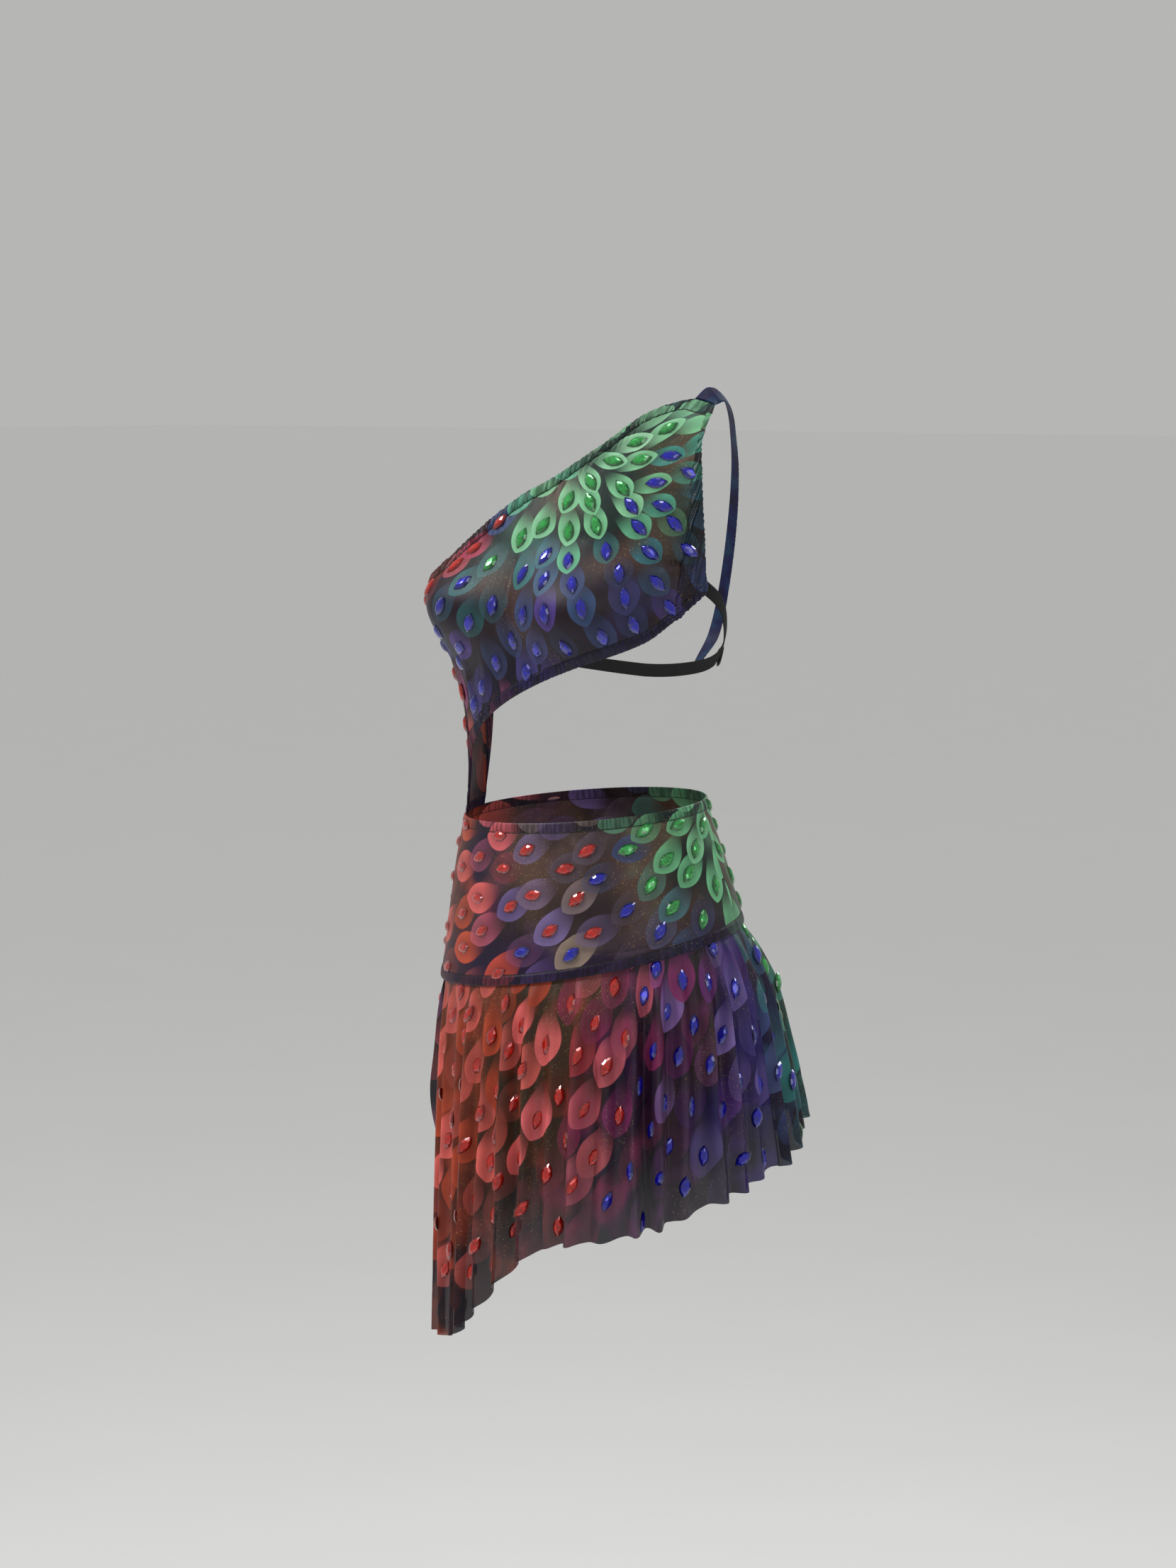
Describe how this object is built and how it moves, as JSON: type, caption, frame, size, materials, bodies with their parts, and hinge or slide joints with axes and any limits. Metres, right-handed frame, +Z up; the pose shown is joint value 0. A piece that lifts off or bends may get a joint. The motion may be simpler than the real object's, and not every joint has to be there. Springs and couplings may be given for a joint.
{
  "type": "one-shoulder party dress with a waist cut-out",
  "caption": "Worn-shape one-shoulder mesh party dress with a sash bodice, a fitted hip yoke and a gathered asymmetric skirt.",
  "frame": {"origin": "where the strap rests on top of the wearer's left shoulder, at the strap's underside", "axes": "+Z up, the front faces -Y, the wearer's left is +X"},
  "size_m": [0.4094, 0.3405, 0.8881],
  "materials": {
    "printed_mesh": "printed stretch mesh with a soft sparkle",
    "skirt_mesh": "sheer printed stretch mesh",
    "strap_mesh": "dark blue rolled mesh",
    "elastic": "black woven elastic",
    "slider_plastic": "gloss black",
    "stone_red": "faceted foiled stone",
    "stone_blue": "faceted foiled stone",
    "stone_green": "faceted foiled stone"
  },
  "bodies": {
    "root": {"bodice_front": "printed_mesh", "yoke_front": "printed_mesh", "yoke_back": "printed_mesh", "flounce_front": "skirt_mesh", "flounce_back": "skirt_mesh", "shoulder_strap": "strap_mesh", "back_band": "elastic", "strap_slider": "slider_plastic"}
  },
  "joints": []
}
